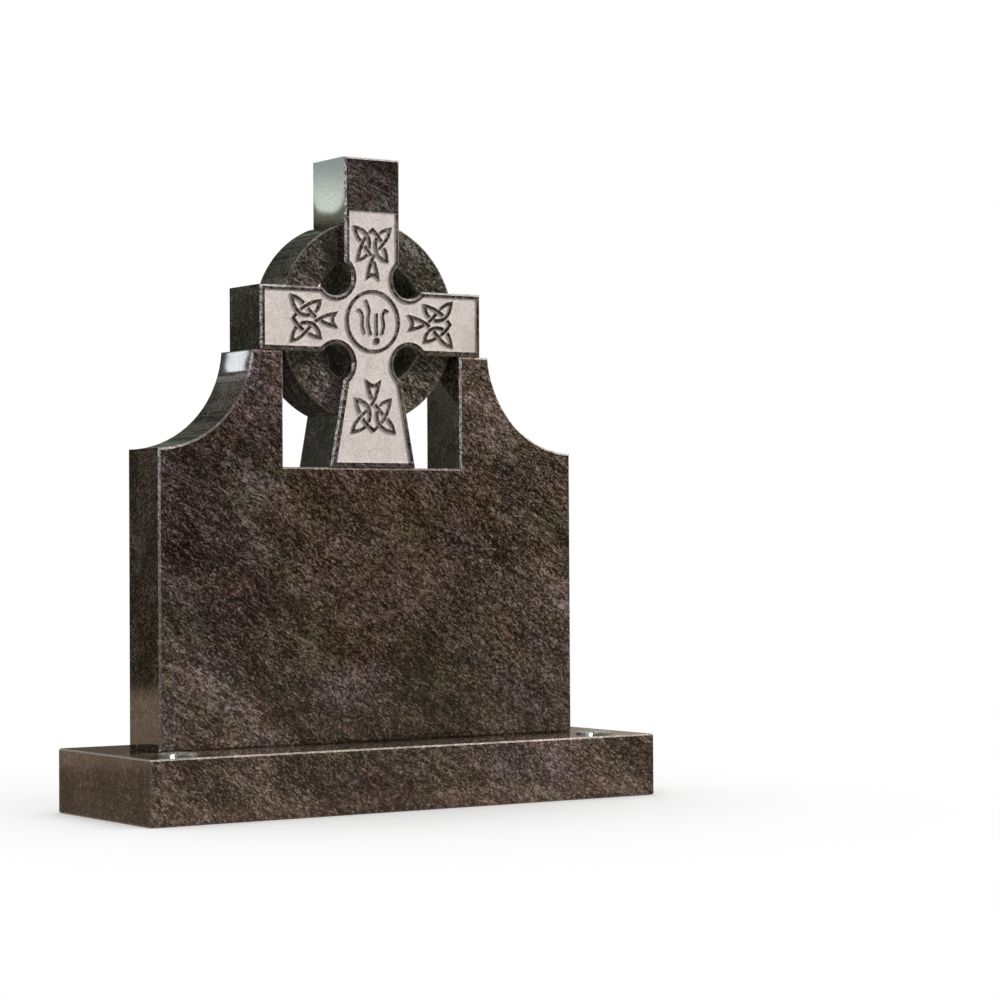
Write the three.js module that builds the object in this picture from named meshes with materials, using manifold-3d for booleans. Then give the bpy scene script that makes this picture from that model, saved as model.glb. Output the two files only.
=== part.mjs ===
// A granite headstone with a ringed (celtic) cross set in the top of its tablet.
// Millimetres, +Z up, the front faces -Y, and the origin is the middle of the base's underside.

import * as THREE from 'three';
import { mergeVertices } from 'three/addons/utils/BufferGeometryUtils.js';
import Module from 'manifold-3d';

// Driving dimensions: the base block
const BASE_WIDTH = 914;
const BASE_DEPTH = 308;
const BASE_HEIGHT = 99;
const BASE_ARRIS = 2.5;

// Driving dimensions: the tablet (die), its concave shoulders, its two pillars and the window between them
const DIE_WIDTH = 758;
const DIE_THICKNESS = 101.5;
const DIE_SETBACK = 121.5; // from the base's front face to the die's front face
const DIE_SHOULDER_HEIGHT = 457;
const DIE_HEIGHT = 610.5;
const DIE_NECK_WIDTH = 436;
const SHOULDER_SWEEP = 84; // degrees that each concave shoulder's arc turns through
const WINDOW_WIDTH = 326;
const WINDOW_DEPTH = 180;
const DIE_ARRIS = 3.2;

// Driving dimensions: the cross
const LIMB_WIDTH = 101;
const ARM_SPAN = 406;
const CROSS_RISE = 257.5; // from the cross's centre to its top
const FOOT_WIDTH = 157;
const SHAFT_WIDTH = 106; // where the splayed foot begins, at the lower notches
const NOTCH_OFFSET = 67.5; // from the cross's axes to the centre of each round armpit notch
const NOTCH_RADIUS = 29.5;
const RING_OUTER_RADIUS = 160.5;
const RING_INNER_RADIUS = 104;
const RING_FRONT_RECESS = 14;
const RING_BACK_RECESS = 1;
const RING_ARRIS = 2.5;
const CROSS_ARRIS = 3.2;

// Driving dimensions: the sunk panel on the cross's front and what stands in it
const PANEL_MARGIN = 7.6;
const PANEL_FOOT_MARGIN = 9.4;
const PANEL_RISE = 173; // from the cross's centre to the panel's top edge
const PANEL_SINK = 1.1;
const MEDALLION_RADIUS = 50;
const MEDALLION_LINE = 5.6;
const STRAP_WIDTH = 5.4;
const STRAP_GAP = 1.9;
const KNOT_LENGTH = 83;
const SIDE_KNOT_SPREAD = 36;
const TOP_KNOT_SPREAD = 33.5;
const FOOT_KNOT_SPREAD = 39.5;
const KNOT_START = 66.5; // from the cross's centre to the spearhead of the upper knots
const FOOT_KNOT_START = 93.5;
const EMBLEM_LINE = 4.5;
const EMBLEM_HALF_WIDTH = 29;
const EMBLEM_RISE = 34; // from the medallion's centre to the tallest stroke's top
const EMBLEM_DROP_RADIUS = 5.6;

// Driving dimensions: the flower containers and their lids
const CONTAINER_INSET_X = 77; // from the base's end to a container's axis
const CONTAINER_INSET_Y = 61; // from the base's front face to a container's axis
const CONTAINER_DIAMETER = 50;
const CONTAINER_WALL = 1.6;
const CONTAINER_LENGTH = 88;
const FLANGE_WIDTH = 4.5;
const FLANGE_THICKNESS = 1.2;
const SOCKET_CLEARANCE = 1;
const LID_DIAMETER = 54;
const LID_RISE = 2;
const LID_THICKNESS = 1.2;
const LID_HOLE_DIAMETER = 9.5;
const LID_HOLE_CIRCLE = 34;
const LID_HOLE_COUNT = 6;

// Clearance between pieces that rest on each other, and the fineness of round shapes
const SEAT_GAP = 0.3;
const SHOULDER_SEGMENTS = 18;
const NOTCH_SEGMENTS = 16;
const RING_SEGMENTS = 72;
const MEDALLION_SEGMENTS = 48;
const CONTAINER_SEGMENTS = 28;
const LID_HOLE_SEGMENTS = 10;
const STRAP_STEP = 7.5;

const GRANITE = { color: 0x4a403c, roughness: 0.18, metalness: 0 };
const METAL = { color: 0xc9c6c0, roughness: 0.35, metalness: 0.9 };

const wasm = await Module();
wasm.setup();

// Solids for cutting and joining

function toSolid(geometry) {
  const bare = geometry.clone();
  bare.deleteAttribute('normal');
  bare.deleteAttribute('uv');
  const merged = mergeVertices(bare, 1e-4);
  const vertProperties = new Float32Array(merged.attributes.position.array);
  const triVerts = new Uint32Array(merged.index.array);
  return new wasm.Manifold(new wasm.Mesh({ numProp: 3, vertProperties, triVerts }));
}

function toGeometry(solid) {
  const mesh = solid.getMesh();
  const geometry = new THREE.BufferGeometry();
  geometry.setAttribute('position', new THREE.BufferAttribute(new Float32Array(mesh.vertProperties), 3));
  geometry.setIndex(new THREE.BufferAttribute(new Uint32Array(mesh.triVerts), 1));
  return geometry;
}

function joinAll(solids) {
  return solids.reduce((whole, solid) => whole.add(solid));
}

// Plates: an outline in X and Z, its front face at y = front, with chamfered front and back arrises

function plate(shape, thickness, front, arris) {
  const geometry = new THREE.ExtrudeGeometry(shape, {
    depth: thickness - 2 * arris,
    bevelEnabled: arris > 0,
    bevelSize: arris,
    bevelThickness: arris,
    bevelOffset: -arris,
    bevelSegments: 1,
    curveSegments: RING_SEGMENTS,
  });
  geometry.rotateX(Math.PI / 2);
  geometry.translate(0, front + thickness - arris, 0);
  return geometry;
}

function shapeOf(points) {
  return new THREE.Shape(points.map(([x, z]) => new THREE.Vector2(x, z)));
}

function mirrored(points) {
  return points.map(([x, z]) => [-x, z]).reverse();
}

function arcPoints(centre, radius, fromAngle, toAngle, segments) {
  const points = [];
  for (let i = 0; i <= segments; i += 1) {
    const angle = fromAngle + ((toAngle - fromAngle) * i) / segments;
    points.push([centre[0] + radius * Math.cos(angle), centre[1] + radius * Math.sin(angle)]);
  }
  return points;
}

// The base: a block with chamfered arrises and a hole right through it for each flower container

function containerPlaces() {
  const x = BASE_WIDTH / 2 - CONTAINER_INSET_X;
  const y = -BASE_DEPTH / 2 + CONTAINER_INSET_Y;
  return { left: [-x, y], right: [x, y] };
}

function baseGeometry() {
  const x = BASE_WIDTH / 2;
  const y = BASE_DEPTH / 2;
  const cut = BASE_ARRIS;
  const plan = shapeOf([
    [-x + cut, -y], [x - cut, -y], [x, -y + cut], [x, y - cut],
    [x - cut, y], [-x + cut, y], [-x, y - cut], [-x, -y + cut],
  ]);
  const block = new THREE.ExtrudeGeometry(plan, {
    depth: BASE_HEIGHT - 2 * BASE_ARRIS,
    bevelSize: BASE_ARRIS,
    bevelThickness: BASE_ARRIS,
    bevelOffset: -BASE_ARRIS,
    bevelSegments: 1,
  });
  block.translate(0, 0, BASE_ARRIS);
  const socketRadius = CONTAINER_DIAMETER / 2 + SOCKET_CLEARANCE;
  const sockets = Object.values(containerPlaces()).map(([px, py]) => {
    const socket = new THREE.CylinderGeometry(socketRadius, socketRadius, 2 * BASE_HEIGHT, CONTAINER_SEGMENTS);
    socket.rotateX(Math.PI / 2);
    socket.translate(px, py, BASE_HEIGHT / 2);
    return toSolid(socket);
  });
  return toGeometry(toSolid(block).subtract(joinAll(sockets)));
}

// The die: its own origin is the middle of its underside's front edge

function shoulderArc() {
  const top = [DIE_NECK_WIDTH / 2, DIE_HEIGHT];
  const outer = [DIE_WIDTH / 2, DIE_SHOULDER_HEIGHT];
  const dx = outer[0] - top[0];
  const dz = outer[1] - top[1];
  const chord = Math.hypot(dx, dz);
  const sweep = THREE.MathUtils.degToRad(SHOULDER_SWEEP);
  const radius = chord / (2 * Math.sin(sweep / 2));
  const toCentre = radius * Math.cos(sweep / 2);
  const centre = [
    (top[0] + outer[0]) / 2 - (dz / chord) * toCentre,
    (top[1] + outer[1]) / 2 + (dx / chord) * toCentre,
  ];
  const fromAngle = Math.atan2(outer[1] - centre[1], outer[0] - centre[0]);
  return arcPoints(centre, radius, fromAngle, fromAngle - sweep, SHOULDER_SEGMENTS);
}

function dieGeometry() {
  const floor = DIE_HEIGHT - WINDOW_DEPTH;
  const rightHalf = [
    [DIE_WIDTH / 2, 0],
    ...shoulderArc(),
    [WINDOW_WIDTH / 2, DIE_HEIGHT],
    [WINDOW_WIDTH / 2, floor],
  ];
  return plate(shapeOf([...rightHalf, ...mirrored(rightHalf)]), DIE_THICKNESS, 0, DIE_ARRIS);
}

// The cross: its own origin is its centre, on its front face

const footBottom = -(WINDOW_DEPTH + LIMB_WIDTH / 2);

// The outline of the cross, or of the panel in it when a margin is taken off
function crossOutline(margin, footMargin, rise) {
  const half = LIMB_WIDTH / 2 - margin;
  const reach = ARM_SPAN / 2 - margin;
  const radius = NOTCH_RADIUS + margin;
  const out = Math.sqrt(Math.max(radius ** 2 - (NOTCH_OFFSET - half) ** 2, 0));
  const start = Math.atan2(out, half - NOTCH_OFFSET);
  const end = Math.atan2(half - NOTCH_OFFSET, out);
  const upper = arcPoints([NOTCH_OFFSET, NOTCH_OFFSET], radius, start, end + 2 * Math.PI, NOTCH_SEGMENTS);

  const beginZ = -NOTCH_OFFSET - Math.sqrt(Math.max(NOTCH_RADIUS ** 2 - (NOTCH_OFFSET - SHAFT_WIDTH / 2) ** 2, 0));
  const splay = (FOOT_WIDTH - SHAFT_WIDTH) / 2 / (beginZ - footBottom);
  const footZ = footBottom + margin;
  const slant = Math.hypot(1, splay);
  const edgeX = (z) => SHAFT_WIDTH / 2 + (beginZ - z) * splay - footMargin * slant;
  const meet = edgeMeetsNotch(edgeX, splay, radius);
  const lowEnd = Math.atan2(meet[1] + NOTCH_OFFSET, meet[0] - NOTCH_OFFSET);
  const lowStart = Math.atan2(NOTCH_OFFSET - half, out);
  const lower = arcPoints([NOTCH_OFFSET, -NOTCH_OFFSET], radius, lowStart, lowEnd + 2 * Math.PI, NOTCH_SEGMENTS);

  const rightHalf = [
    [half, rise],
    ...upper,
    [reach, half],
    [reach, -half],
    ...lower,
    [edgeX(footZ), footZ],
  ];
  return shapeOf([...rightHalf, ...mirrored(rightHalf)]);
}

// The lower point where the foot's slanting edge meets a lower notch's circle
function edgeMeetsNotch(edgeX, splay, radius) {
  const level = -NOTCH_OFFSET;
  const offset = edgeX(level) - NOTCH_OFFSET;
  const a = 1 + splay ** 2;
  const b = -2 * offset * splay;
  const c = offset ** 2 - radius ** 2;
  const dz = (-b - Math.sqrt(Math.max(b ** 2 - 4 * a * c, 0))) / (2 * a);
  return [edgeX(level + dz), level + dz];
}

function ringSolid() {
  const shape = new THREE.Shape();
  shape.absarc(0, 0, RING_OUTER_RADIUS, 0, 2 * Math.PI, false);
  const hole = new THREE.Path();
  hole.absarc(0, 0, RING_INNER_RADIUS, 0, 2 * Math.PI, true);
  shape.holes.push(hole);
  const thickness = DIE_THICKNESS - RING_FRONT_RECESS - RING_BACK_RECESS;
  return toSolid(plate(shape, thickness, RING_FRONT_RECESS, RING_ARRIS));
}

// The knot: one closed strap of smooth runs between pointed corners, drawn on its right half and mirrored.
// Each point is [share of the spread sideways, share of the length outwards from the spearhead's corners].
const KNOT_CORNERS = {
  spear: [0.275, 0.035],
  near: [0.79, 0.36],
  far: [0.965, 0.973],
  middle: [0, 0.945],
};
const KNOT_RUNS = {
  nearToMiddle: [[0.75, 0.48], [0.6, 0.64], [0.35, 0.81]],
  nearToFar: [[0.5, 0.395], [0.25, 0.49], [0.155, 0.63], [0.26, 0.82], [0.6, 0.935]],
  spearToFar: [[0.21, 0.17], [0.02, 0.385], [-0.24, 0.535], [-0.62, 0.695], [-0.89, 0.85]],
  spearToSpear: [[0, 0.1]],
};

function knotPath() {
  const flip = ([v, u]) => [-v, u];
  const { spear, near, far, middle } = KNOT_CORNERS;
  const { nearToMiddle, nearToFar, spearToFar, spearToSpear } = KNOT_RUNS;
  const backwards = (points) => [...points].reverse();
  return [
    [flip(near), ...nearToMiddle.map(flip), middle],
    [middle, ...backwards(nearToMiddle), near],
    [near, ...nearToFar, far],
    [far, ...backwards(spearToFar.map(flip)), flip(spear)],
    [flip(spear), ...spearToSpear, spear],
    [spear, ...spearToFar, flip(far)],
    [flip(far), ...backwards(nearToFar.map(flip)), flip(near)],
  ];
}

// A run as evenly spaced points, in millimetres
function sampleRun(run, spread) {
  const curve = new THREE.CatmullRomCurve3(
    run.map(([v, u]) => new THREE.Vector3(v * spread, u * KNOT_LENGTH, 0)), false, 'centripetal',
  );
  const steps = Math.max(3, Math.round(curve.getLength() / STRAP_STEP));
  return curve.getSpacedPoints(steps).map((p) => [p.x, p.y]);
}

function segmentsOf(runs) {
  const segments = [];
  runs.forEach((points, run) => {
    for (let i = 0; i + 1 < points.length; i += 1) {
      segments.push({ run, index: i, from: points[i], to: points[i + 1] });
    }
  });
  return segments;
}

// Where two segments cross: the share along each, or null
function crossing(a, b) {
  const r = [a.to[0] - a.from[0], a.to[1] - a.from[1]];
  const s = [b.to[0] - b.from[0], b.to[1] - b.from[1]];
  const d = [b.from[0] - a.from[0], b.from[1] - a.from[1]];
  const cross = r[0] * s[1] - r[1] * s[0];
  if (Math.abs(cross) < 1e-9) return null;
  const t = (d[0] * s[1] - d[1] * s[0]) / cross;
  const u = (d[0] * r[1] - d[1] * r[0]) / cross;
  if (t <= 0 || t >= 1 || u <= 0 || u >= 1) return null;
  const sine = Math.abs(cross) / (Math.hypot(...r) * Math.hypot(...s));
  return { t, u, sine };
}

// The strap passes over and under by turns. Returns, for each run, where it passes under: [distance, half gap]
function underPasses(runs) {
  const segments = segmentsOf(runs);
  const passes = [];
  for (let i = 0; i < segments.length; i += 1) {
    const lastOther = segments.length - (i === 0 ? 1 : 0);
    for (let j = i + 2; j < lastOther; j += 1) {
      const hit = crossing(segments[i], segments[j]);
      if (hit) {
        passes.push({ segment: i, share: hit.t, sine: hit.sine });
        passes.push({ segment: j, share: hit.u, sine: hit.sine });
      }
    }
  }
  passes.sort((a, b) => a.segment + a.share - b.segment - b.share);
  const under = runs.map(() => []);
  passes.forEach((pass, order) => {
    if (order % 2 === 1) return;
    const { run, index } = segments[pass.segment];
    const distance = lengthTo(runs[run], index, pass.share);
    under[run].push([distance, (STRAP_WIDTH / 2 + STRAP_GAP) / pass.sine]);
  });
  return under;
}

function lengthTo(points, index, share) {
  let length = 0;
  for (let i = 0; i < index; i += 1) length += distanceBetween(points[i], points[i + 1]);
  return length + share * distanceBetween(points[index], points[index + 1]);
}

function distanceBetween(a, b) {
  return Math.hypot(b[0] - a[0], b[1] - a[1]);
}

// The stretch of a polyline between two distances along it
function stretch(points, from, to) {
  const kept = [];
  let walked = 0;
  for (let i = 0; i + 1 < points.length; i += 1) {
    const length = distanceBetween(points[i], points[i + 1]);
    const at = (d) => [0, 1].map((k) => points[i][k] + ((points[i + 1][k] - points[i][k]) * d) / length);
    if (walked >= from && walked <= to) kept.push(points[i]);
    if (from > walked && from < walked + length) kept.push(at(from - walked));
    if (to > walked && to < walked + length) kept.push(at(to - walked));
    walked += length;
  }
  if (walked <= to) kept.push(points[points.length - 1]);
  return kept;
}

// A strap's outline along a polyline. At a pointed corner, where the strap turns to or from another heading,
// only its outer side runs on to the tip.
function ribbon(points, width, headingBefore, headingAfter) {
  const half = width / 2;
  const last = points.length - 1;
  const left = [];
  const right = [];
  points.forEach((point, i) => {
    const into = i > 0 ? heading(points[i - 1], point) : headingBefore;
    const out = i < last ? heading(point, points[i + 1]) : headingAfter;
    const own = i < last ? heading(point, points[i + 1]) : heading(points[i - 1], point);
    const mitre = offsetAt(into ?? out, out ?? into, half);
    const square = [-own[1] * half, own[0] * half];
    const turnsLeft = into && out && into[0] * out[1] - into[1] * out[0] > 0;
    const corner = i === 0 || i === last;
    const leftSide = corner && turnsLeft ? square : mitre;
    const rightSide = corner && !turnsLeft ? square : mitre;
    left.push([point[0] + leftSide[0], point[1] + leftSide[1]]);
    right.push([point[0] - rightSide[0], point[1] - rightSide[1]]);
  });
  return [...left, ...right.reverse()];
}

function heading(a, b) {
  const length = distanceBetween(a, b);
  return [(b[0] - a[0]) / length, (b[1] - a[1]) / length];
}

// The leftward offset of a mitred bend
function offsetAt(into, out, half) {
  const normal = [-(into[1] + out[1]), into[0] + out[0]];
  const size = Math.hypot(...normal);
  const cosine = (normal[1] * into[0] - normal[0] * into[1]) / size;
  const reach = half / Math.max(cosine, 0.4);
  return [(normal[0] / size) * reach, (normal[1] / size) * reach];
}

// The visible straps of a knot, as outlines in the knot's own sideways and outward directions
function knotRibbons(spread) {
  const runs = knotPath().map((run) => sampleRun(run, spread));
  const under = underPasses(runs);
  const headings = runs.map((points) => ({
    first: heading(points[0], points[1]),
    last: heading(points.at(-2), points.at(-1)),
  }));
  const ribbons = [];
  runs.forEach((points, k) => {
    const total = lengthTo(points, points.length - 2, 1);
    const gaps = under[k].sort((a, b) => a[0] - b[0]);
    const edges = [0, ...gaps.flatMap(([at, half]) => [at - half, at + half]), total];
    for (let i = 0; i + 1 < edges.length; i += 2) {
      const from = edges[i];
      const to = edges[i + 1];
      const before = from === 0 ? headings[(k + runs.length - 1) % runs.length].last : null;
      const after = to === total ? headings[(k + 1) % runs.length].first : null;
      if (to - from > STRAP_WIDTH / 2) {
        ribbons.push(ribbon(stretch(points, from, to), STRAP_WIDTH, before, after));
      }
    }
  });
  return ribbons;
}

// Reliefs: outlines in X and Z that keep the panel's full height where they stand

function relief(points) {
  const area = points.reduce((sum, p, i) => {
    const next = points[(i + 1) % points.length];
    return sum + p[0] * next[1] - next[0] * p[1];
  }, 0);
  const shape = shapeOf(area > 0 ? points : [...points].reverse());
  return toSolid(plate(shape, 3 * PANEL_SINK, -1.5 * PANEL_SINK, 0));
}

function knotReliefs(spread, start, outward, side) {
  return knotRibbons(spread).map((points) => relief(points.map(([v, u]) => [
    side[0] * v + outward[0] * (start + u),
    side[1] * v + outward[1] * (start + u),
  ])));
}

function medallionRelief() {
  const shape = new THREE.Shape();
  shape.setFromPoints(circlePoints(MEDALLION_RADIUS));
  shape.holes.push(new THREE.Path(circlePoints(MEDALLION_RADIUS - MEDALLION_LINE)));
  return toSolid(plate(shape, 3 * PANEL_SINK, -1.5 * PANEL_SINK, 0));
}

function circlePoints(radius) {
  return arcPoints([0, 0], radius, 0, 2 * Math.PI, MEDALLION_SEGMENTS)
    .slice(0, -1)
    .map(([x, z]) => new THREE.Vector2(x, z));
}

// The medallion's emblem: curling upright strokes above a drop, which stand for no letter.
// Each point is [share of the half width, share of the rise] from the medallion's centre.
const EMBLEM_STROKES = [
  [[-1, 0.52], [-0.78, 0.47], [-0.66, 0.24], [-0.66, -0.24], [-0.53, -0.6]],
  [[-0.47, 1], [-0.34, 0.77], [-0.22, 0.44], [-0.31, 0.09], [-0.24, -0.33], [-0.12, -0.64]],
  [[0.23, 0.4], [0.23, -0.04], [0.24, -0.66]],
  [[0.98, 0.46], [0.75, 0.54], [0.62, 0.28], [0.7, -0.2], [0.56, -0.6]],
];
const EMBLEM_DROP = [0.23, -0.9];

function emblemPoint([across, up]) {
  return [across * EMBLEM_HALF_WIDTH, up * EMBLEM_RISE];
}

function emblemReliefs() {
  const strokes = EMBLEM_STROKES.map((stroke) => {
    const curve = new THREE.CatmullRomCurve3(
      stroke.map(emblemPoint).map(([x, z]) => new THREE.Vector3(x, z, 0)), false, 'centripetal',
    );
    const steps = Math.round(curve.getLength() / STRAP_STEP) + 1;
    return relief(ribbon(curve.getSpacedPoints(steps).map((p) => [p.x, p.y]), EMBLEM_LINE, null, null));
  });
  const drop = arcPoints(emblemPoint(EMBLEM_DROP), EMBLEM_DROP_RADIUS, 0, 2 * Math.PI, 14).slice(0, -1);
  return [...strokes, relief(drop)];
}

function crossGeometry() {
  const body = toSolid(plate(crossOutline(0, 0, CROSS_RISE), DIE_THICKNESS, 0, CROSS_ARRIS));
  const reliefs = joinAll([
    ...knotReliefs(SIDE_KNOT_SPREAD, KNOT_START, [-1, 0], [0, 1]),
    ...knotReliefs(SIDE_KNOT_SPREAD, KNOT_START, [1, 0], [0, 1]),
    ...knotReliefs(TOP_KNOT_SPREAD, KNOT_START, [0, 1], [-1, 0]),
    ...knotReliefs(FOOT_KNOT_SPREAD, FOOT_KNOT_START, [0, -1], [1, 0]),
    ...emblemReliefs(),
    medallionRelief(),
  ]);
  const panelShape = crossOutline(PANEL_MARGIN, PANEL_FOOT_MARGIN, PANEL_RISE);
  const sunk = toSolid(plate(panelShape, 2 * PANEL_SINK, -PANEL_SINK, 0)).subtract(reliefs);
  return toGeometry(body.add(ringSolid()).subtract(sunk));
}

// The flower containers: a cup hung by its flange in the base, and a low domed lid with holes for stems.
// Their own origin is on the container's axis, at the level of the base's top.

function lathe(profile) {
  const points = profile.map(([r, z]) => new THREE.Vector2(r, z));
  const geometry = new THREE.LatheGeometry(points, CONTAINER_SEGMENTS);
  geometry.rotateX(Math.PI / 2);
  return geometry;
}

function containerGeometry() {
  const outer = CONTAINER_DIAMETER / 2;
  const inner = outer - CONTAINER_WALL;
  const flange = outer + FLANGE_WIDTH;
  const top = SEAT_GAP + FLANGE_THICKNESS;
  return lathe([
    [0, -CONTAINER_LENGTH],
    [outer, -CONTAINER_LENGTH],
    [outer, SEAT_GAP],
    [flange, SEAT_GAP],
    [flange, top],
    [inner, top],
    [inner, CONTAINER_WALL - CONTAINER_LENGTH],
    [0, CONTAINER_WALL - CONTAINER_LENGTH],
  ]);
}

function lidGeometry() {
  const seat = FLANGE_THICKNESS + 2 * SEAT_GAP;
  const radius = LID_DIAMETER / 2;
  const steps = 5;
  const upper = [];
  for (let i = 0; i <= steps; i += 1) {
    const share = i / steps;
    upper.push([radius * share, seat + LID_THICKNESS + LID_RISE * Math.cos((Math.PI / 2) * share)]);
  }
  const under = upper.slice(0, -1).map(([r, z]) => [r * (1 - LID_THICKNESS / radius), z - LID_THICKNESS]);
  const rim = [[radius, seat], [radius - 2 * LID_THICKNESS, seat]];
  const profile = [...upper, ...rim, ...under.reverse()].reverse();
  const holeRadius = LID_HOLE_DIAMETER / 2;
  const holes = [];
  for (let i = 0; i <= LID_HOLE_COUNT; i += 1) {
    const turn = (2 * Math.PI * i) / LID_HOLE_COUNT;
    const reach = i < LID_HOLE_COUNT ? LID_HOLE_CIRCLE / 2 : 0;
    const hole = new THREE.CylinderGeometry(holeRadius, holeRadius, 8 * LID_RISE, LID_HOLE_SEGMENTS);
    hole.rotateX(Math.PI / 2);
    hole.translate(reach * Math.cos(turn), reach * Math.sin(turn), 0);
    holes.push(toSolid(hole));
  }
  return toGeometry(toSolid(lathe(profile)).subtract(joinAll(holes)));
}

// The assembly

function piece(name, geometry, look, position) {
  const mesh = new THREE.Mesh(geometry, new THREE.MeshStandardMaterial(look));
  mesh.name = name;
  mesh.position.set(...position);
  return mesh;
}

const headstone = new THREE.Group();
const dieFront = -BASE_DEPTH / 2 + DIE_SETBACK;
const dieBottom = BASE_HEIGHT + SEAT_GAP;
const crossCentre = dieBottom + DIE_HEIGHT + SEAT_GAP + LIMB_WIDTH / 2;

headstone.add(piece('base', baseGeometry(), GRANITE, [0, 0, 0]));
headstone.add(piece('die', dieGeometry(), GRANITE, [0, dieFront, dieBottom]));
headstone.add(piece('cross', crossGeometry(), GRANITE, [0, dieFront, crossCentre]));
for (const [side, [x, y]] of Object.entries(containerPlaces())) {
  headstone.add(piece(`flower_container_${side}`, containerGeometry(), METAL, [x, y, BASE_HEIGHT]));
  headstone.add(piece(`container_lid_${side}`, lidGeometry(), METAL, [x, y, BASE_HEIGHT]));
}

export default headstone;
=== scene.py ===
"""Looks of a polished granite headstone with a ringed cross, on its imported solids. Metres, +Z up, front at -Y."""
import math

import bpy
from mathutils import Matrix, Vector

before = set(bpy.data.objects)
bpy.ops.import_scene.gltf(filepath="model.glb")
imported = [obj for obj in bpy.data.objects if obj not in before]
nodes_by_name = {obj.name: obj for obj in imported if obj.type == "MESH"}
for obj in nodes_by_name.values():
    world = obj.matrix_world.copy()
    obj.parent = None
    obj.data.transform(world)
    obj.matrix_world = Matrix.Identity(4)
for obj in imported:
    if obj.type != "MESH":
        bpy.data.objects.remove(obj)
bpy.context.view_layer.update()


# Camera, solved from the straight edges of the stones: metres, degrees, and millimetres for the lens

CAMERA_AT = (-2.37276, -3.88321, 0.41222)
CAMERA_AZIMUTH = -34.150
CAMERA_PITCH = -0.834
CAMERA_ROLL = -0.330
CAMERA_LENS = 103.37
SENSOR = 36.0
CLIP_END = 60.0


def camera_axes():
    azimuth, pitch, roll = (math.radians(a) for a in (CAMERA_AZIMUTH, CAMERA_PITCH, CAMERA_ROLL))
    back = Vector((
        math.sin(azimuth) * math.cos(pitch),
        -math.cos(azimuth) * math.cos(pitch),
        math.sin(pitch),
    ))
    level_right = Vector((math.cos(azimuth), math.sin(azimuth), 0.0))
    level_up = back.cross(level_right)
    right = math.cos(roll) * level_right + math.sin(roll) * level_up
    up = -math.sin(roll) * level_right + math.cos(roll) * level_up
    return right, up, back


def add_camera():
    right, up, back = camera_axes()
    data = bpy.data.cameras.new("camera")
    data.lens = CAMERA_LENS
    data.sensor_width = SENSOR
    data.clip_end = CLIP_END
    camera = bpy.data.objects.new("camera", data)
    camera.matrix_world = Matrix.Translation(CAMERA_AT) @ Matrix((right, up, back)).transposed().to_4x4()
    bpy.context.scene.collection.objects.link(camera)
    bpy.context.scene.camera = camera


# Node-tree helpers

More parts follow.
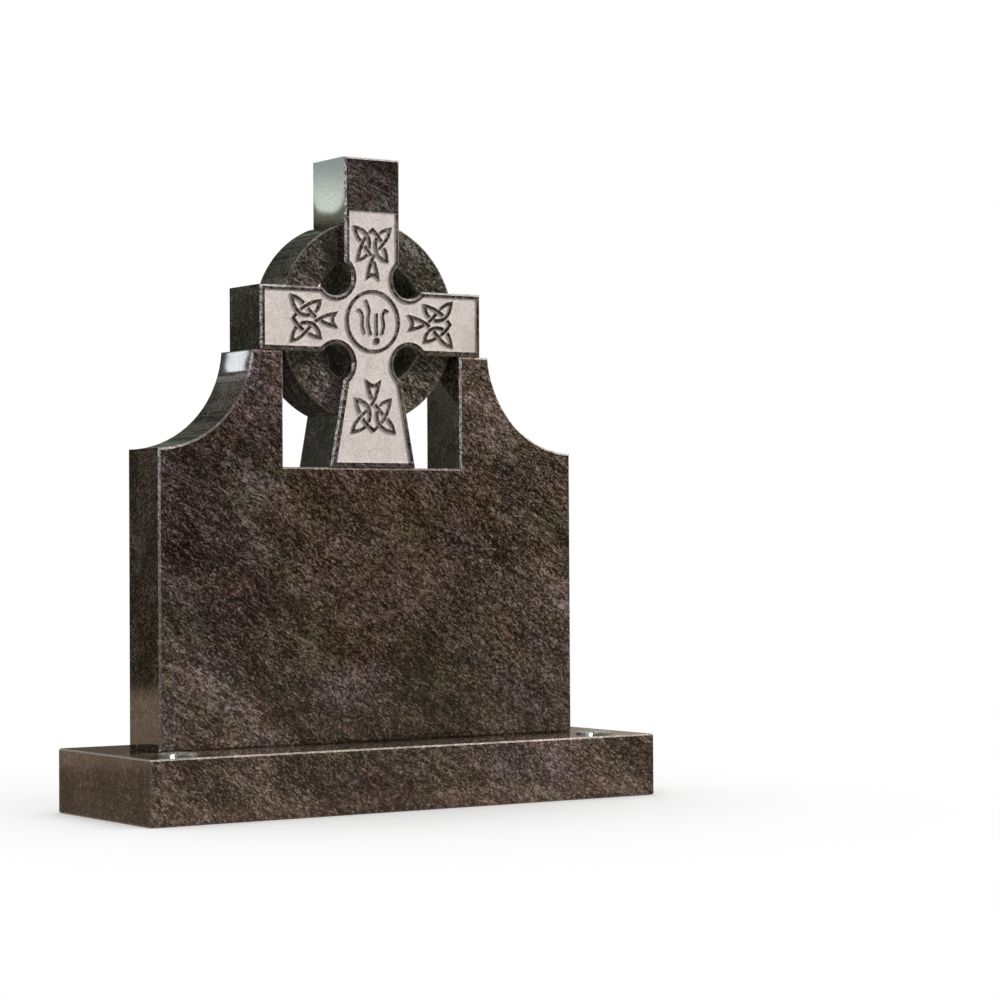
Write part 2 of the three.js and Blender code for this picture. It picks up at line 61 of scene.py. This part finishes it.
class Tree:
    """Adds nodes to a node tree; a value or a socket can be given for any input."""

    def __init__(self, tree):
        self.tree = tree
        tree.nodes.clear()

    def node(self, kind, inputs=None, **settings):
        made = self.tree.nodes.new(kind)
        for key, value in settings.items():
            setattr(made, key, value)
        for key, value in (inputs or {}).items():
            self.set(made.inputs[key], value)
        return made

    def set(self, socket, value):
        if isinstance(value, bpy.types.NodeSocket):
            self.tree.links.new(value, socket)
        else:
            socket.default_value = value

    def math(self, operation, a, b=0.0, c=0.0):
        return self.node("ShaderNodeMath", {0: a, 1: b, 2: c}, operation=operation).outputs[0]

    def add(self, a, b):
        return self.math("ADD", a, b)

    def subtract(self, a, b):
        return self.math("SUBTRACT", a, b)

    def multiply(self, first, *others):
        for other in others:
            first = self.math("MULTIPLY", first, other)
        return first

    def multiply_add(self, a, b, c):
        return self.math("MULTIPLY_ADD", a, b, c)

    def size_of(self, value):
        return self.math("ABSOLUTE", value)

    def centred(self, noise):
        return self.add(noise, -0.5)

    def smooth(self, value, low, high, to_low=0.0, to_high=1.0):
        """Goes smoothly from to_low at low to to_high at high. The greater of low and high may come first."""
        return self.node("ShaderNodeMapRange", {
            "Value": value, "From Min": low, "From Max": high, "To Min": to_low, "To Max": to_high,
        }, interpolation_type="SMOOTHSTEP").outputs[0]

    def between(self, value, low, high, soft):
        rise = self.smooth(value, low - soft, low + soft)
        fall = self.smooth(value, high - soft, high + soft, 1.0, 0.0)
        return self.multiply(rise, fall)

    def vector(self, operation, a, b=(0.0, 0.0, 0.0), c=(0.0, 0.0, 0.0)):
        return self.node("ShaderNodeVectorMath", {0: a, 1: b, 2: c}, operation=operation).outputs["Vector"]

    def distance(self, a, b=(0.0, 0.0, 0.0)):
        return self.node("ShaderNodeVectorMath", {0: a, 1: b}, operation="DISTANCE").outputs["Value"]

    def axes(self, vector):
        parts = self.node("ShaderNodeSeparateXYZ", {0: vector}).outputs
        return parts["X"], parts["Y"], parts["Z"]

    def mix_any(self, kind, share, a, b, **settings):
        made = self.node("ShaderNodeMix", data_type=kind, **settings)
        self.set(made.inputs["Factor"], share)
        self.set(made.inputs["A"], a)
        self.set(made.inputs["B"], b)
        return made.outputs["Result"]

    def mix(self, share, a, b):
        return self.mix_any("RGBA", share, a, b, blend_type="MIX")

    def mix_value(self, share, a, b):
        return self.mix_any("FLOAT", share, a, b)

    def tinted(self, colour, tint, share=1.0):
        return self.mix_any("RGBA", share, colour, tint, blend_type="MULTIPLY")

    def noise(self, vector, scale, detail=2.0, roughness=0.5, distortion=0.0):
        return self.node("ShaderNodeTexNoise", {
            "Vector": vector, "Scale": scale, "Detail": detail, "Roughness": roughness, "Distortion": distortion,
        }).outputs["Fac"]

    def ramp(self, value, stops):
        made = self.node("ShaderNodeValToRGB", {"Fac": value})
        elements = made.color_ramp.elements
        while len(elements) < len(stops):
            elements.new(0.5)
        for element, (position, colour) in zip(elements, stops):
            element.position = position
            element.color = (*colour, 1.0)
        return made.outputs["Color"]

    def emission(self, colour):
        return self.node("ShaderNodeEmission", {"Color": colour, "Strength": 1.0}).outputs[0]

    def mix_shader(self, share, a, b):
        return self.node("ShaderNodeMixShader", {0: share, 1: a, 2: b}).outputs[0]

    def finish(self, surface, output="ShaderNodeOutputMaterial"):
        self.set(self.node(output).inputs["Surface"], surface)


def new_material(name):
    material = bpy.data.materials.new(name)
    material.use_nodes = True
    return material, Tree(material.node_tree)


def grey(value):
    return (value, value, value, 1.0)


def rgb(red, green, blue):
    return (red, green, blue, 1.0)


# Granite: polished faces, lighter arrises, and a pale sandblasted panel where the cross's front is sunk

# The grains' colours, each with its place on the scale of tones
GRAINS = [
    (0.32, (0.0070, 0.0038, 0.0022)),
    (0.42, (0.025, 0.0160, 0.0112)),
    (0.51, (0.062, 0.0430, 0.0335)),
    (0.61, (0.145, 0.112, 0.094)),
    (0.74, (0.340, 0.285, 0.255)),
]

# How the flow is turned, and how far its grains and its fibres are drawn out
FLOW_TURN = (0.0, math.radians(34), math.radians(14))
GRAIN_STRETCH = 2.1
FIBRE_STRETCH = 5.0
GRAIN_WARP = 0.010
FIBRE_WARP = 0.004

# Cells per metre of each pattern
WARP_SCALE = 42.0
STREAK_SCALE = 350.0
SPECK_SCALE = 520.0
CRYSTAL_SCALE = 420.0
FIBRE_SCALE = 115.0
BAND_SCALE = 15.0
CLOUD_SCALE = 6.0
LILAC_SCALE = 12.0
OLIVE_SCALE = 13.0
RUSSET_SCALE = 19.0
CHIP_SCALE = 260.0
PIT_SCALE = 700.0
STIPPLE_SCALE = 260.0
BLOTCH_SCALE = 60.0

# How strongly each pattern shows
SPECK_SHARE = 0.38
CRYSTAL_SHARE = 0.15
GRAIN_CONTRAST = 1.45
FIBRE_LIFT = 0.40
BAND_LIFT = 0.34
CLOUD_LIFT = 0.16
DRIFT_RAGGEDNESS = 0.25

# Tints of the stone
LILAC = rgb(0.98, 0.97, 1.22)
OLIVE = rgb(0.78, 0.92, 0.76)
RUSSET = rgb(1.16, 0.90, 0.80)
BASE_TINT = rgb(0.95, 0.92, 0.87)
DIE_TINT = rgb(0.90, 0.875, 0.83)
CROSS_TINT = rgb(0.82, 0.86, 0.97)

# Faces that look left or right cut across the flow: more contrast there, and a browner tint
ACROSS_CONTRAST = 1.75
ACROSS_LIFT = 1.2
ACROSS_TINT = rgb(0.89, 0.85, 0.74)

# Broad drifts of one tint in a block: the middle, the reach and the tint
DIE_DRIFTS = [
    ((-0.01, 0.0, 0.40), 0.24, rgb(0.84, 0.74, 0.66)),
    ((-0.30, 0.0, 0.42), 0.22, rgb(0.95, 0.93, 1.06)),
    ((0.13, 0.0, 0.17), 0.16, rgb(0.82, 0.88, 0.78)),
    ((-0.32, 0.0, 0.16), 0.16, rgb(1.16, 1.14, 1.18)),
    ((-0.20, 0.0, 0.66), 0.14, rgb(1.25, 1.20, 1.50)),
    ((0.24, 0.0, 0.64), 0.16, rgb(1.28, 1.30, 1.34)),
    ((0.33, 0.0, 0.38), 0.20, rgb(1.18, 1.18, 1.18)),
]
CROSS_DRIFTS_AND_PAINTED_REFLECTION = [
    ((0.0, 0.0, 1.02), 0.13, rgb(0.58, 0.56, 0.58)),
    # Painted reflection: these two greener, lighter patches on the right of the ring stand for the leaves mirrored
    # there
    ((0.11, 0.0, 0.83), 0.13, rgb(0.92, 1.08, 0.92)),
    ((0.09, 0.0, 0.66), 0.12, rgb(1.25, 1.38, 1.16)),
    ((-0.10, 0.0, 0.66), 0.12, rgb(1.35, 1.40, 1.42)),
]

# Arrises lean by 45 degrees, so their normal's part along an axis lies between these
ARRIS_LOW = 0.35
ARRIS_HIGH = 0.90

# Surfaces
STONE_IOR = 1.52
POLISH_ROUGHNESS = 0.018
POLISH_LEVEL = 0.5
ARRIS_COLOUR = rgb(0.20, 0.18, 0.165)
# Painted highlight on the top arris of the left end, standing in for the key light on a rounded arris
SUNLIT_ARRIS_PAINT = rgb(0.70, 0.64, 0.57)
# Tint of the honed walls inside the ring: partly their own paler tone, partly painted light
HONED_AND_PAINTED_LIGHT_TINT = rgb(1.45, 1.70, 1.40)
HONED_ROUGHNESS = 0.55
HONED_LEVEL = 0.15
FROSTED_COLOUR = rgb(0.78, 0.715, 0.70)
FROSTED_ROUGHNESS = 0.82
BLOTCH_TINT = rgb(0.90, 0.90, 0.89)
STAIN_COLOUR = rgb(0.50, 0.47, 0.40)
PIT_BUMP = 0.25
PIT_DEPTH = 0.0005

# Levels of the sunk panel on the cross's front, and the middle of the stain on its right arm
CROSS_FRONT_Y = -0.0325
PANEL_FLOOR_Y = -0.0314
STAIN_CENTRE = (0.205, PANEL_FLOOR_Y, 0.722)

# Round faces: the axes and radii that the polish follows, and how near a face has to lie
RING_CENTRE = (0.0, 0.0, 0.7606)
RING_OUTER_RADIUS = 0.1605
RING_INNER_RADIUS = 0.104
RING_TOLERANCE = 0.0008
NOTCH_OFFSET = 0.0675
NOTCH_RADIUS = 0.0295
NOTCH_TOLERANCE = 0.0006
SHOULDER_CENTRE = (0.38374, 0.0, 0.72215)
SHOULDER_RADIUS = 0.16622
SHOULDER_TOLERANCE = 0.0010


def from_axis(t, place, centre):
    """The way here from the axis along Y through centre, and its length."""
    flat = t.vector("MULTIPLY", t.vector("SUBTRACT", place, centre), (1.0, 0.0, 1.0))
    return flat, t.distance(flat)


def runs_along_y(t, facing_y):
    """1 on the edge faces of a slab, 0 on its front, its back and its arrises."""
    return t.smooth(t.size_of(facing_y), 0.30, 0.20)


def follow_round_face(t, normal, place, centre, radius, tolerance, outward):
    """Turns the shading normal to that of the true cylinder along Y where the faceted face lies on it."""
    flat, distance = from_axis(t, place, centre)
    on_face = t.between(distance, radius - tolerance, radius + tolerance, 0.25 * tolerance)
    on_face = t.multiply(on_face, runs_along_y(t, t.axes(normal)[1]))
    turn = 1.0 if outward else -1.0
    radial = t.vector("NORMALIZE", t.vector("MULTIPLY", flat, (turn, turn, turn)))
    return t.vector("NORMALIZE", t.mix_any("VECTOR", on_face, normal, radial))


def stone_colour(t, place, facing_x, tint, drifts_and_painted_reflections):
    """Fine grains, with fibres and bands drawn out along a flow that runs down to the right."""
    def flow(stretch):
        return t.node("ShaderNodeMapping", {
            "Vector": place, "Rotation": FLOW_TURN, "Scale": (stretch, 1.0, 1.0),
        }, vector_type="TEXTURE").outputs[0]

    along = flow(GRAIN_STRETCH)
    warp = t.node("ShaderNodeTexNoise", {"Vector": along, "Scale": WARP_SCALE, "Detail": 2.0}).outputs["Color"]
    warp = t.vector("SUBTRACT", warp, (0.5, 0.5, 0.5))

    def warped(vector, reach):
        return t.vector("MULTIPLY_ADD", warp, (reach, reach, reach), vector)

    shifted = warped(along, GRAIN_WARP)
    streaks = t.noise(shifted, STREAK_SCALE, 3.0, 0.70)
    specks = t.noise(place, SPECK_SCALE, 2.0, 0.7)
    cells = t.node("ShaderNodeTexVoronoi", {"Vector": shifted, "Scale": CRYSTAL_SCALE, "Randomness": 1.0})
    crystal = t.node("ShaderNodeSeparateColor", {0: cells.outputs["Color"]}).outputs[0]
    grains = t.add(t.multiply(streaks, 1.0 - SPECK_SHARE), t.multiply(specks, SPECK_SHARE))
    grains = t.add(t.multiply(grains, 1.0 - CRYSTAL_SHARE), t.multiply(crystal, CRYSTAL_SHARE))

    drawn_out = warped(flow(FIBRE_STRETCH), FIBRE_WARP)
    fibres = t.noise(drawn_out, FIBRE_SCALE, 3.0, 0.66)
    bands = t.noise(drawn_out, BAND_SCALE, 3.0, 0.60)
    clouds = t.noise(along, CLOUD_SCALE, 2.0, 0.5)
    lift = t.add(t.multiply(t.centred(fibres), FIBRE_LIFT), t.multiply(t.centred(bands), BAND_LIFT))
    lift = t.add(lift, t.multiply(t.centred(clouds), CLOUD_LIFT))

    across_flow = t.smooth(t.size_of(facing_x), 0.80, 0.95)
    lift = t.multiply(lift, t.mix_value(across_flow, 1.0, ACROSS_LIFT))
    contrast = t.mix_value(across_flow, GRAIN_CONTRAST, ACROSS_CONTRAST)
    tone = t.add(t.multiply_add(t.centred(grains), contrast, 0.5), lift)
    stone = t.tinted(t.ramp(tone, GRAINS), tint)

    lilac = t.smooth(t.noise(along, LILAC_SCALE, 2.0, 0.5), 0.50, 0.64)
    olive = t.smooth(t.noise(place, OLIVE_SCALE, 3.0, 0.6, 0.2), 0.50, 0.64)
    russet = t.smooth(t.noise(along, RUSSET_SCALE, 2.0, 0.6), 0.55, 0.70)
    stone = t.tinted(stone, LILAC, t.multiply(lilac, 0.8))
    stone = t.tinted(stone, OLIVE, t.multiply(olive, 0.8))
    stone = t.tinted(stone, RUSSET, t.multiply(russet, 0.6))
    stone = t.tinted(stone, ACROSS_TINT, across_flow)

    # Broad patches of one tint: drifts in the stone's tone, and on the cross also a painted reflection of leaves on
    # the ring's right
    for middle, reach, patch_tint in drifts_and_painted_reflections:
        from_middle = t.multiply_add(t.centred(clouds), DRIFT_RAGGEDNESS, t.distance(place, middle))
        stone = t.tinted(stone, patch_tint, t.smooth(from_middle, reach, 0.3 * reach))
    return stone


def granite(name, every_edge=False, round_faces=(), tint=grey(1.0), drifts_and_painted_reflections=(), frosted=False):
    """Polished stone. Its arrises are those around the front and back, or those of every edge of a block."""
    material, t = new_material(name)
    place = t.node("ShaderNodeTexCoord").outputs["Object"]
    normal = t.node("ShaderNodeNewGeometry").outputs["True Normal"]
    _, place_y, _ = t.axes(place)
    facing_x, facing_y, facing_z = t.axes(normal)
    stone = stone_colour(t, place, facing_x, tint, drifts_and_painted_reflections)

    # Arrises: the narrow chamfers between the faces, with chips that are duller than the rest
    slope = t.size_of(facing_y)
    if every_edge:
        slope = t.math("MAXIMUM", t.size_of(facing_z), t.math("MAXIMUM", t.size_of(facing_x), slope))
    arris = t.between(slope, ARRIS_LOW, ARRIS_HIGH, 0.02)
    arris_colour = t.mix(0.70, ARRIS_COLOUR, t.tinted(stone, grey(2.0)))
    if every_edge:
        # A painted highlight: the top arris of the left end is painted paler, where a rounded arris would catch the
        # key light
        painted_sunlit_arris = t.multiply(t.smooth(facing_x, -0.3, -0.5), t.smooth(facing_z, 0.3, 0.5))
        arris_colour = t.mix(t.multiply(painted_sunlit_arris, 0.8), arris_colour, SUNLIT_ARRIS_PAINT)
    chips = t.smooth(t.noise(place, CHIP_SCALE, 2.0, 0.6), 0.40, 0.60)
    colour = t.mix(arris, stone, arris_colour)
    roughness = t.mix_value(arris, POLISH_ROUGHNESS, t.mix_value(chips, 0.12, 0.36))
    level = t.mix_value(arris, POLISH_LEVEL, t.mix_value(chips, 0.62, 0.22))
    bump_height = 0.0

    if frosted:
        # The panel's floor, and the walls between the carving's top and the floor
        near_floor = t.between(place_y, PANEL_FLOOR_Y - 0.0006, PANEL_FLOOR_Y + 0.0006, 0.0002)
        floor_faces = t.multiply(t.smooth(facing_y, -0.95, -0.90, 1.0, 0.0), near_floor)
        above_floor = t.smooth(place_y, PANEL_FLOOR_Y + 0.0002, PANEL_FLOOR_Y + 0.0004, 1.0, 0.0)
        wall_faces = t.multiply(t.smooth(t.size_of(facing_y), 0.2, 0.4, 1.0, 0.0), above_floor)
        blasted = t.math("MAXIMUM", floor_faces, wall_faces)
        pits = t.noise(place, PIT_SCALE, 2.0, 0.7)
        blotches = t.noise(place, BLOTCH_SCALE, 3.0, 0.6)
        stipple = t.noise(place, STIPPLE_SCALE, 3.0, 0.7)
        pale = t.tinted(FROSTED_COLOUR, t.mix(t.smooth(pits, 0.30, 0.70), grey(0.76), grey(1.12)))
        pale = t.tinted(pale, t.mix(t.smooth(stipple, 0.34, 0.58), grey(0.80), grey(1.06)))
        pale = t.tinted(pale, BLOTCH_TINT, t.smooth(blotches, 0.40, 0.62))
        stain = t.smooth(t.distance(place, STAIN_CENTRE), 0.010, 0.060, 1.0, 0.0)
        pale = t.mix(t.multiply(stain, 0.60), pale, STAIN_COLOUR)
        colour = t.mix(blasted, colour, pale)
        roughness = t.mix_value(blasted, roughness, FROSTED_ROUGHNESS)

        # The walls of the round openings inside the ring are honed, so they mirror little. Their paler, greener tint
        # is partly the honed stone's own paleness and partly painted light on these shaded walls
        _, radius = from_axis(t, place, RING_CENTRE)
        honed = t.multiply(
            t.smooth(radius, RING_INNER_RADIUS + 0.0008, RING_INNER_RADIUS + 0.0003),
            runs_along_y(t, facing_y),
            t.smooth(place_y, CROSS_FRONT_Y + 0.004, CROSS_FRONT_Y + 0.010),
        )
        colour = t.mix(honed, colour, t.tinted(stone, HONED_AND_PAINTED_LIGHT_TINT))
        roughness = t.mix_value(honed, roughness, HONED_ROUGHNESS)
        level = t.mix_value(honed, level, HONED_LEVEL)
        bump_height = t.mix_value(blasted, bump_height, pits)

    for centre, radius, tolerance, outward in round_faces:
        normal = follow_round_face(t, normal, place, centre, radius, tolerance, outward)
    bump = t.node("ShaderNodeBump", {
        "Strength": PIT_BUMP, "Distance": PIT_DEPTH, "Height": bump_height, "Normal": normal,
    })
    t.finish(t.node("ShaderNodeBsdfPrincipled", {
        "Base Color": colour, "Roughness": roughness, "IOR": STONE_IOR, "Specular IOR Level": level,
        "Normal": bump.outputs[0],
    }).outputs[0])
    return material


# Containers and lids: satin aluminium with faint smudges

METAL_CLEAN = rgb(0.78, 0.76, 0.73)
METAL_SMUDGED = rgb(0.58, 0.56, 0.53)
METAL_SHARE = 0.85
SMUDGE_SCALE = 90.0


def metal(name):
    material, t = new_material(name)
    smudges = t.noise(t.node("ShaderNodeTexCoord").outputs["Object"], SMUDGE_SCALE, 3.0, 0.6)
    t.finish(t.node("ShaderNodeBsdfPrincipled", {
        "Base Color": t.mix(t.smooth(smudges, 0.4, 0.65), METAL_CLEAN, METAL_SMUDGED),
        "Metallic": METAL_SHARE,
        "Roughness": t.smooth(smudges, 0.35, 0.70, 0.22, 0.33),
    }).outputs[0])
    return material


def dress(node, material):
    mesh = nodes_by_name[node].data
    mesh.materials.clear()
    mesh.materials.append(material)


def dress_all():
    shoulder_x, shoulder_y, shoulder_z = SHOULDER_CENTRE
    shoulders = [
        ((side * shoulder_x, shoulder_y, shoulder_z), SHOULDER_RADIUS, SHOULDER_TOLERANCE, False)
        for side in (-1, 1)
    ]
    ring_x, ring_y, ring_z = RING_CENTRE
    ring = [
        (RING_CENTRE, RING_OUTER_RADIUS, RING_TOLERANCE, True),
        (RING_CENTRE, RING_INNER_RADIUS, RING_TOLERANCE, False),
    ]
    notches = [
        ((ring_x + across * NOTCH_OFFSET, ring_y, ring_z + rise * NOTCH_OFFSET), NOTCH_RADIUS, NOTCH_TOLERANCE, False)
        for across in (-1, 1) for rise in (-1, 1)
    ]
    dress("base", granite("base_granite", every_edge=True, tint=BASE_TINT))
    dress("die", granite("die_granite", round_faces=shoulders, tint=DIE_TINT, drifts_and_painted_reflections=DIE_DRIFTS))
    dress("cross", granite("cross_granite", round_faces=ring + notches, tint=CROSS_TINT, drifts_and_painted_reflections=CROSS_DRIFTS_AND_PAINTED_REFLECTION,
                           frosted=True))
    container_metal = metal("container_metal")
    for side in ("left", "right"):
        dress(f"flower_container_{side}", container_metal)
        dress(f"container_lid_{side}", container_metal)


# Floor: near the stones it takes their shadow, and farther off it fades to white

FLOOR_REACH = 30.0
FLOOR_COLOUR = grey(0.9)
FADE_START = 0.65
FADE_END = 1.6

# The ground that the polish mirrors in its place, and the dull one that lights matt surfaces
PAVING = rgb(0.80, 0.56, 0.41)
FAR_GROUND = rgb(0.050, 0.050, 0.032)
SHADED_GROUND = rgb(0.12, 0.10, 0.07)
GROUND_BEHIND = rgb(0.030, 0.036, 0.024)
NEAR_FRONT_GROUND = rgb(0.36, 0.29, 0.24)
FAR_FRONT_GROUND = rgb(0.13, 0.13, 0.10)
DULL_GROUND = rgb(0.40, 0.37, 0.33)


def mirrored_ground(t, place, far):
    """Warm paving nearby, shaded beside and behind the stones, duller in front of them, and dark farther off."""
    spot_x, spot_y, _ = t.axes(place)
    behind = t.smooth(t.multiply_add(spot_y, 0.5, spot_x), -0.2, 0.1)
    behind = t.multiply(behind, t.smooth(spot_y, 0.2, 0.5))
    shaded = t.multiply(t.smooth(far, 1.1, 1.5, 1.0, 0.0), t.smooth(spot_y, -0.35, -0.10))
    in_front = t.mix(t.smooth(far, 1.2, 7.0), NEAR_FRONT_GROUND, FAR_FRONT_GROUND)
    ground = t.mix(t.smooth(far, 3.2, 4.6), PAVING, FAR_GROUND)
    ground = t.mix(t.multiply(shaded, 0.6), ground, SHADED_GROUND)
    ground = t.mix(behind, ground, GROUND_BEHIND)
    return t.mix(t.smooth(spot_y, -0.25, -0.60), ground, in_front)


def add_floor():
    reach = FLOOR_REACH
    corners = [(-reach, -reach, 0), (reach, -reach, 0), (reach, reach, 0), (-reach, reach, 0)]
    mesh = bpy.data.meshes.new("floor")
    mesh.from_pydata(corners, [], [(0, 1, 2, 3)])
    floor = bpy.data.objects.new("floor", mesh)
    bpy.context.scene.collection.objects.link(floor)
    material, t = new_material("floor")
    place = t.node("ShaderNodeTexCoord").outputs["Object"]
    path = t.node("ShaderNodeLightPath")
    far = t.distance(place)
    near = t.node("ShaderNodeBsdfDiffuse", {"Color": FLOOR_COLOUR}).outputs[0]
    shown = t.mix_shader(t.smooth(far, FADE_START, FADE_END), near, t.emission(grey(1.0)))
    shown = t.mix_shader(path.outputs["Is Glossy Ray"], shown, t.emission(mirrored_ground(t, place, far)))
    t.finish(t.mix_shader(path.outputs["Is Diffuse Ray"], shown, t.emission(DULL_GROUND)))
    mesh.materials.append(material)
    return floor


# Suns: the key light on the stones, and a very soft one on the floor. Angles are in degrees

KEY_TOWARD = (0.736, -0.286, 0.613)
KEY_ANGLE = 4.0
KEY_STRENGTH = 5.6
KEY_COLOUR = (1.0, 0.96, 0.91)
OVERHEAD_TOWARD = (0.0, 0.0, 1.0)
OVERHEAD_ANGLE = 80.0
OVERHEAD_STRENGTH = 2.2
OVERHEAD_COLOUR = (1.0, 1.0, 1.0)


def add_sun(name, toward, angle, strength, colour, lit):
    """A sun in the direction toward, which lights only the objects in lit and isn't mirrored."""
    data = bpy.data.lights.new(name, "SUN")
    data.angle = math.radians(angle)
    data.energy = strength
    data.color = colour
    sun = bpy.data.objects.new(name, data)
    sun.rotation_euler = Vector(toward).to_track_quat("Z", "Y").to_euler()
    sun.visible_glossy = False
    bpy.context.scene.collection.objects.link(sun)
    receivers = bpy.data.collections.new(name + "_lit")
    for thing in lit:
        receivers.objects.link(thing)
    sun.light_linking.receiver_collection = receivers


# Surroundings: white to the camera, an even light on matt surfaces, and sky over dark trees in the polish

DIFFUSE_LOW = grey(0.20)
DIFFUSE_HIGH = grey(0.46)
DARK_LEAVES = rgb(0.030, 0.040, 0.026)
PALE_LEAVES = rgb(0.230, 0.280, 0.210)
UNDERGROWTH = rgb(0.030, 0.030, 0.018)
DARK_SHRUBS = rgb(0.10, 0.12, 0.07)
PALE_SHRUBS = rgb(0.75, 0.80, 0.60)
BARE_BANK = rgb(0.115, 0.095, 0.078)
SKY_OVER_CROWNS = rgb(5.9, 6.6, 5.8)
SKY_HIGHER = rgb(2.7, 3.15, 3.05)
SKY_HAZE = rgb(0.95, 1.05, 0.72)
SKY_OVERHEAD = rgb(5.0, 4.9, 4.7)
SKY_RIGHT = rgb(3.2, 3.2, 3.2)
SKY_FRONT_LEFT = rgb(7.0, 7.2, 7.2)
SKY_BACK_RIGHT = rgb(1.1, 1.15, 1.1)
GAP_LIGHT = rgb(0.40, 0.34, 0.27)
VEIL_LIGHT = rgb(1.0, 1.0, 0.98)
CLEARING_LIGHT = rgb(6.6, 7.1, 7.5)

# To the left, the trees' crowns dip between two taller ones, as a fourth power around the dip's middle
DIP_MIDDLE = -0.5078
DIP_STEEPNESS = 1.1e7
DIP_BOTTOM = 0.1140
CROWNS_TOP = 0.150
CROWN_RAGGEDNESS = 0.002

# A clearing, seen as a narrow bright strip that leans to the right on a parabola
STRIP_FROM = 0.1471
STRIP_BEND = 1.441
STRIP_LEAN = 0.3151
STRIP_FOOT = -0.4642


def mirrored_trees(t, direction, across, up, facing_away):
    leaves = t.smooth(t.noise(direction, 22.0, 4.0, 0.6), 0.35, 0.70)
    low = t.multiply(t.smooth(across, -0.52, -0.49), t.smooth(up, 0.07, 0.02))
    shrubs = t.multiply(t.smooth(across, -0.525, -0.54), facing_away)
    bank = t.multiply(t.smooth(across, 0.25, 0.35), t.smooth(up, 0.14, 0.11), facing_away)
    trees = t.mix(leaves, DARK_LEAVES, PALE_LEAVES)
    trees = t.mix(t.multiply(low, 0.7), trees, UNDERGROWTH)
    trees = t.mix(t.multiply(shrubs, 0.45), trees, t.mix(leaves, DARK_SHRUBS, PALE_SHRUBS))
    return t.mix(bank, trees, BARE_BANK)


def mirrored_world(t, direction, across, away, up):
    """Light by direction, from its parts across to the right, away beyond the stones, and up."""
    facing_away = t.smooth(away, 0.2, 0.5)

    # The gap of sky on the left, cut off below by the ragged line of crowns
    dip = t.add(across, -DIP_MIDDLE)
    dip = t.multiply(dip, dip)
    crowns = t.multiply_add(t.multiply(dip, dip), DIP_STEEPNESS, DIP_BOTTOM)
    crowns = t.math("MINIMUM", crowns, CROWNS_TOP)
    ragged = t.multiply(t.centred(t.noise(direction, 90.0, 3.0, 0.6)), CROWN_RAGGEDNESS)
    over_crowns = t.smooth(t.add(t.subtract(up, crowns), ragged), -0.0010, 0.0014)
    left_gap = t.multiply(t.between(across, -0.535, -0.49, 0.004), t.smooth(up, 0.165, 0.145), facing_away)
    haze = t.multiply(left_gap, t.smooth(up, 0.1085, 0.1135))
    left_sky = t.mix(t.smooth(up, 0.116, 0.132), SKY_OVER_CROWNS, SKY_HIGHER)

    # The clearing, and the veil of light above it
    rise = t.add(up, -STRIP_FROM)
    middle = t.multiply_add(t.multiply(rise, rise), STRIP_BEND, t.multiply_add(rise, STRIP_LEAN, STRIP_FOOT))
    aside = t.subtract(across, middle)
    strip = t.multiply(t.smooth(aside, -0.0041, -0.0034), t.smooth(aside, 0.0035, 0.0022))
    clearing = t.multiply(strip, t.between(up, 0.146, 0.300, 0.008), facing_away)
    veil = t.multiply(
        t.between(aside, -0.03, 0.03, 0.02), t.smooth(up, 0.28, 0.31), t.smooth(up, 0.45, 0.32),
        facing_away, t.smooth(t.noise(direction, 40.0, 3.0, 0.6), 0.30, 0.65),
    )

    # Broad patches of sky, and a dim gap low on the right
    overhead = t.multiply(t.smooth(up, 0.58, 0.80), t.smooth(across, -0.05, 0.30, 0.25, 1.0))
    right = t.multiply(t.smooth(across, 0.70, 0.80), t.smooth(up, 0.22, 0.32))
    front_left = t.multiply(
        t.smooth(across, -0.70, -0.80), t.smooth(away, -0.25, -0.40), t.smooth(up, -0.02, 0.03),
    )
    right_gap = t.multiply(
        t.smooth(across, 0.555, 0.60), t.smooth(away, 0.45, 0.6),
        t.smooth(up, 0.02, 0.06), t.smooth(up, 0.12, 0.16, 1.0, 0.0),
    )
    back_right = t.multiply(t.between(across, 0.44, 0.505, 0.01), t.between(up, 0.15, 0.27, 0.01), facing_away)

    seen = mirrored_trees(t, direction, across, up, facing_away)
    for share, light in (
        (overhead, SKY_OVERHEAD), (right, SKY_RIGHT), (front_left, SKY_FRONT_LEFT), (right_gap, GAP_LIGHT),
        (back_right, SKY_BACK_RIGHT), (veil, VEIL_LIGHT), (haze, SKY_HAZE),
        (t.multiply(left_gap, over_crowns), left_sky), (clearing, CLEARING_LIGHT),
    ):
        seen = t.mix(share, seen, light)
    return seen


def surroundings():
    world = bpy.data.worlds.new("world")
    bpy.context.scene.world = world
    world.use_nodes = True
    t = Tree(world.node_tree)
    direction = t.node("ShaderNodeTexCoord").outputs["Generated"]
    across, away, up = t.axes(direction)
    path = t.node("ShaderNodeLightPath")
    even = t.mix(t.smooth(up, -0.2, 0.9), DIFFUSE_LOW, DIFFUSE_HIGH)
    light = t.mix(path.outputs["Is Glossy Ray"], even, mirrored_world(t, direction, across, away, up))
    light = t.mix(path.outputs["Is Camera Ray"], light, grey(1.0))
    background = t.node("ShaderNodeBackground", {"Color": light, "Strength": 1.0})
    t.finish(background.outputs[0], "ShaderNodeOutputWorld")


dress_all()
add_camera()
floor = add_floor()
add_sun("key", KEY_TOWARD, KEY_ANGLE, KEY_STRENGTH, KEY_COLOUR, list(nodes_by_name.values()))
add_sun("overhead", OVERHEAD_TOWARD, OVERHEAD_ANGLE, OVERHEAD_STRENGTH, OVERHEAD_COLOUR, [floor])
surroundings()
bpy.context.scene.view_settings.view_transform = "Standard"
